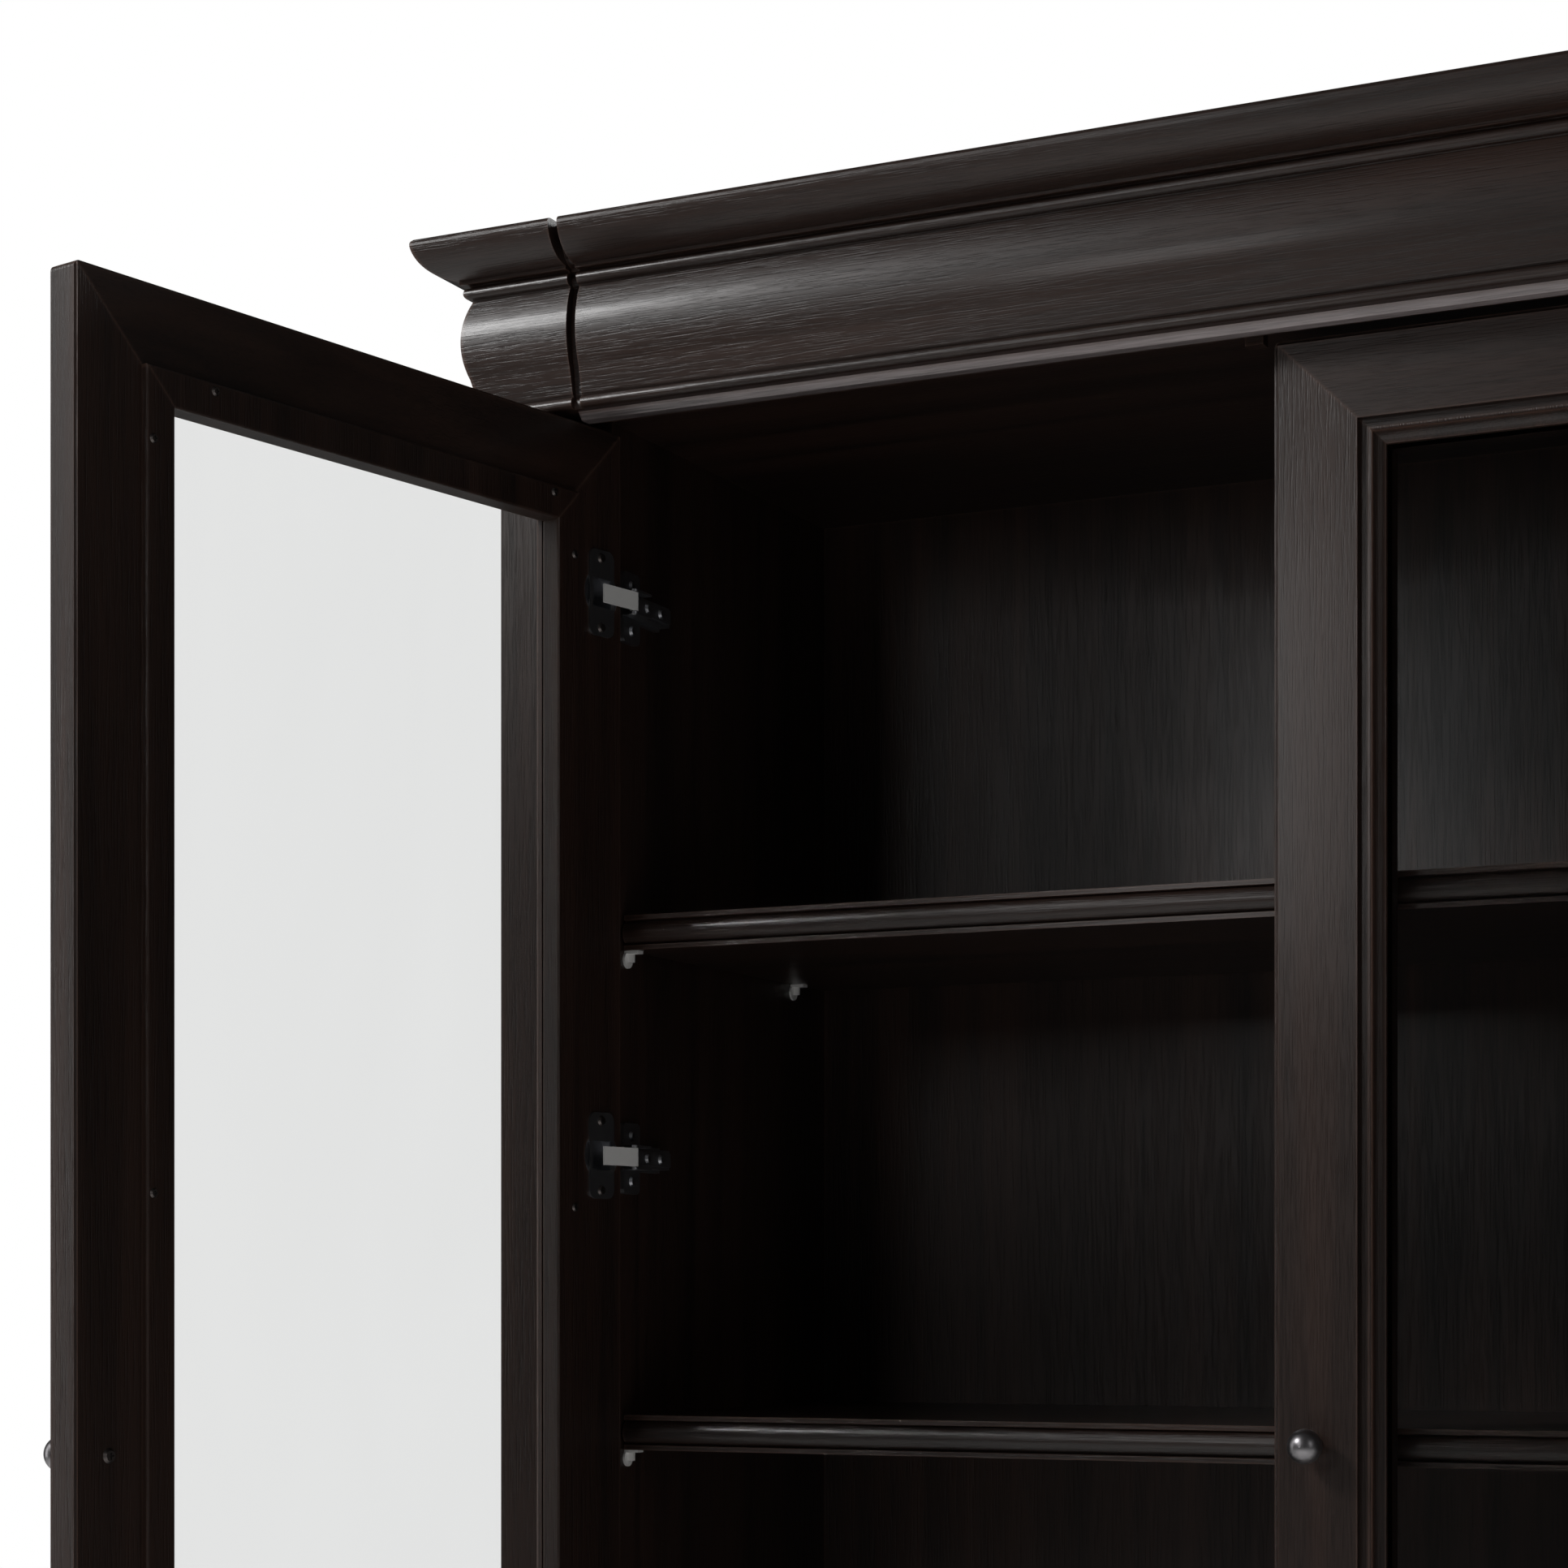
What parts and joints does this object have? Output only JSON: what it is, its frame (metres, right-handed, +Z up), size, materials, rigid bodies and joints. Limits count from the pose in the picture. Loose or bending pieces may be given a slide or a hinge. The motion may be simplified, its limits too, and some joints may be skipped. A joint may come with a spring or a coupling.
{
  "type": "china cabinet with glass doors",
  "caption": "Tall free-standing display cabinet with a moulded crown, full-height glazed doors on concealed hinges and inner shelves.",
  "frame": {"origin": "middle of the footprint, on the floor", "axes": "+Z up, +Y to the back of the cabinet, +X to the right when seen from the front"},
  "size_m": [1.2103, 0.8678, 2.029],
  "materials": {
    "wood": "dark espresso stain under satin lacquer",
    "glass": "clear",
    "nickel": "bright nickel plate",
    "steel": "zinc-plated pressed steel",
    "pewter": "dark pewter, polished"
  },
  "bodies": {
    "case": {"plinth_front": "wood", "plinth_ends": "wood", "plinth_rear": "wood", "plinth_bearer": "wood", "base_deck": "wood", "base_moulding_front": "wood", "base_moulding_sides": "wood", "ceiling_board": "wood", "front_rail": "wood", "back_panel": "wood", "rear_rails": "wood", "crown_front": "wood", "crown_top": "wood", "shelf_supports": "nickel", "door_stop": "wood", "hinge_plates": "steel", "hinge_arms": "steel", "hinge_pins": "nickel", "hinge_screws": "steel", "shelf_1": "wood", "shelf_2": "wood", "shelf_3": "wood", "shelf_4": "wood", "post_left": "wood", "side_wall_left": "wood", "rear_stile_left": "wood", "end_panel_left": "wood", "end_rails_left": "wood", "crown_corner_left": "wood", "crown_side_left": "wood", "post_right": "wood", "side_wall_right": "wood", "rear_stile_right": "wood", "end_panel_right": "wood", "end_rails_right": "wood", "crown_corner_right": "wood", "crown_side_right": "wood"},
    "door_left": {"stile_hinge_left": "wood", "stile_free_left": "wood", "rail_top_left": "wood", "rail_bottom_left": "wood", "glass_left": "glass", "front_beads_left": "wood", "rear_beads_left": "wood", "door_screws_left": "steel", "knob_left": "pewter", "hinge_cups_left": "steel"},
    "links_left": {"hinge_links_left": "nickel"},
    "door_right": {"stile_hinge_right": "wood", "stile_free_right": "wood", "rail_top_right": "wood", "rail_bottom_right": "wood", "glass_right": "glass", "front_beads_right": "wood", "rear_beads_right": "wood", "door_screws_right": "steel", "knob_right": "pewter", "hinge_cups_right": "steel"},
    "links_right": {"hinge_links_right": "nickel"}
  },
  "joints": [
    {"name": "door_left_hinge", "type": "hinge", "parent": "case", "child": "door_left", "pos_m": [-0.4836, -0.17635, 1.012], "axis": [0, 0, 1], "range_deg": [0, 101.8]},
    {"name": "door_right_hinge", "type": "hinge", "parent": "case", "child": "door_right", "pos_m": [0.4836, -0.17635, 1.012], "axis": [0, 0, 1], "range_deg": [0, 101.8]},
    {"name": "link_left_swing", "type": "hinge", "parent": "case", "child": "links_left", "pos_m": [-0.47, -0.1612, 1.012], "axis": [0, 0, 1], "range_deg": [0, 101.8]},
    {"name": "link_right_swing", "type": "hinge", "parent": "case", "child": "links_right", "pos_m": [0.47, -0.1612, 1.012], "axis": [0, 0, 1], "range_deg": [0, 101.8]}
  ],
  "couplings": [
    {"joint": "link_left_swing", "follows": "door_left_hinge", "ratio": 1},
    {"joint": "link_right_swing", "follows": "door_right_hinge", "ratio": 1}
  ]
}
